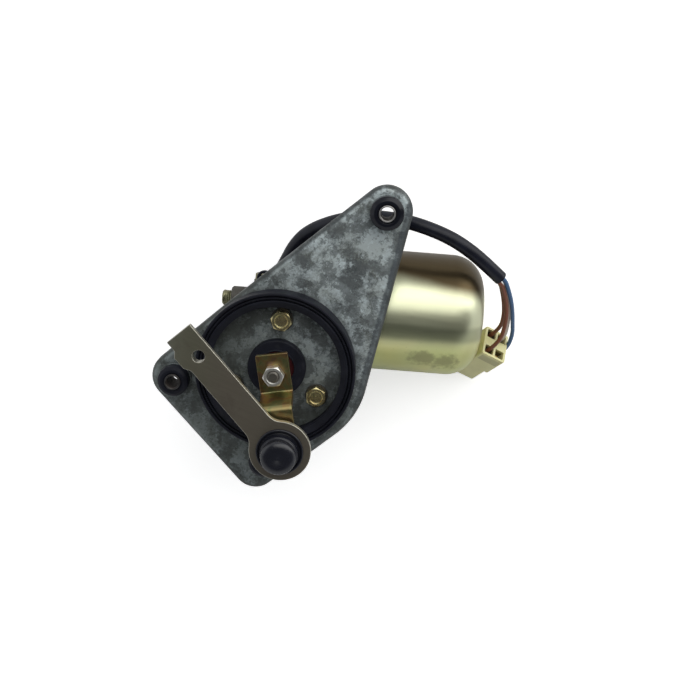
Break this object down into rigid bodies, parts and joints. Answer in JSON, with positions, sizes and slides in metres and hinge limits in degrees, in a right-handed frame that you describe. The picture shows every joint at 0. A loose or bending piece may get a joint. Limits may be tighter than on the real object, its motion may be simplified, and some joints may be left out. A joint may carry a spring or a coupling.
{
  "type": "wiper motor",
  "caption": "Geared wiper motor on a pressed mounting plate, with rubber mounts, a sealing ring, an output crank, a ball-jointed drive link and a wired plug.",
  "frame": {"origin": "where the output shaft's axis crosses the mounting plate's front face, which is the middle of the sealing ring's seat", "axes": "+Z out along the output shaft, from the gearbox towards the crank; +X along the motor, from the gearbox to the closed end of the can; +Y across both, towards the mounting plate's long arm; the part is stored lying on its back, on the can and the gearbox cover"},
  "size_m": [0.2031, 0.173, 0.1277],
  "materials": {
    "galvanised_steel": "hot-dip zinc with large spangle, matt",
    "black_rubber": "moulded, matt",
    "zinc_plated_steel": "bright zinc plate",
    "yellow_zinc_steel": "yellow chromated zinc plate",
    "cast_alloy": "die cast, bead blasted",
    "sintered_bronze": "oil filled",
    "bearing_steel": "ground",
    "thrust_plastic": "moulded",
    "felt": "pressed felt, oiled",
    "wheel_plastic": "moulded, natural",
    "contact_brass": "rolled",
    "bare_steel": "rolled, dull with an oil film",
    "socket_plastic": "moulded, satin",
    "gasket_paper": "fibre gasket",
    "cover_plastic": "moulded",
    "board_resin": "laminate",
    "ferrite": "sintered, ground",
    "copper": "enamelled or turned copper",
    "lamination_steel": "stamped stack",
    "carbon": "pressed carbon",
    "black_pvc": "soft PVC sleeving, satin",
    "ivory_plastic": "moulded nylon, natural",
    "brown_pvc": "wire insulation",
    "blue_pvc": "wire insulation",
    "white_pvc": "wire insulation"
  },
  "bodies": {
    "motor": {"mount_plate": "galvanised_steel", "grommet_top": "black_rubber", "grommet_left": "black_rubber", "grommet_bottom": "black_rubber", "spacer_sleeve_top": "zinc_plated_steel", "spacer_sleeve_left": "zinc_plated_steel", "spacer_sleeve_bottom": "zinc_plated_steel", "seal_ring": "black_rubber", "plate_bolts": "yellow_zinc_steel", "plate_washers": "yellow_zinc_steel", "gear_housing": "cast_alloy", "rear_bush": "sintered_bronze", "front_bush": "sintered_bronze", "thrust_washer": "thrust_plastic", "felt_washer": "felt", "shaft_seal_cap": "black_rubber", "cover_gasket": "gasket_paper", "gear_cover": "cover_plastic", "cover_screws": "zinc_plated_steel", "park_board": "board_resin", "park_contacts": "contact_brass", "motor_can": "yellow_zinc_steel", "can_screws": "yellow_zinc_steel", "magnets": "ferrite", "can_bush": "sintered_bronze", "worm_bush": "sintered_bronze", "armature_bearing": "bearing_steel", "thrust_pad": "thrust_plastic", "thrust_screw": "zinc_plated_steel", "brush_plate": "board_resin", "brush_holders": "contact_brass", "brushes": "carbon", "brush_springs": "bearing_steel", "cable_grommet": "black_rubber", "earth_screw": "zinc_plated_steel", "earth_tag": "zinc_plated_steel", "earth_lead": "brown_pvc", "harness_sleeve": "black_pvc", "connector": "ivory_plastic", "terminals": "contact_brass", "wire_brown_left": "brown_pvc", "wire_brown_right": "brown_pvc", "wire_blue": "blue_pvc", "wire_white": "white_pvc"},
    "crank": {"worm_wheel": "wheel_plastic", "park_disc": "contact_brass", "output_shaft": "bearing_steel", "shaft_circlip": "bearing_steel", "crank_arm": "yellow_zinc_steel", "crank_nut": "zinc_plated_steel", "ball_stud": "bearing_steel"},
    "link": {"link_arm": "bare_steel", "ball_socket": "socket_plastic"},
    "armature": {"armature_shaft": "bearing_steel", "armature_core": "lamination_steel", "armature_windings": "copper", "commutator": "copper"}
  },
  "joints": [
    {"name": "output_spin", "type": "hinge", "parent": "motor", "child": "crank", "pos_m": [0, 0, 0], "axis": [0, 0, 1], "continuous": true},
    {"name": "link_swivel", "type": "hinge", "parent": "crank", "child": "link", "pos_m": [0.00686, -0.03463, 0.0405], "axis": [0, 0, 1], "continuous": true},
    {"name": "armature_spin", "type": "hinge", "parent": "motor", "child": "armature", "pos_m": [0, 0.026, -0.045], "axis": [1, 0, 0], "continuous": true}
  ],
  "couplings": [
    {"joint": "armature_spin", "follows": "output_spin", "ratio": 50}
  ]
}
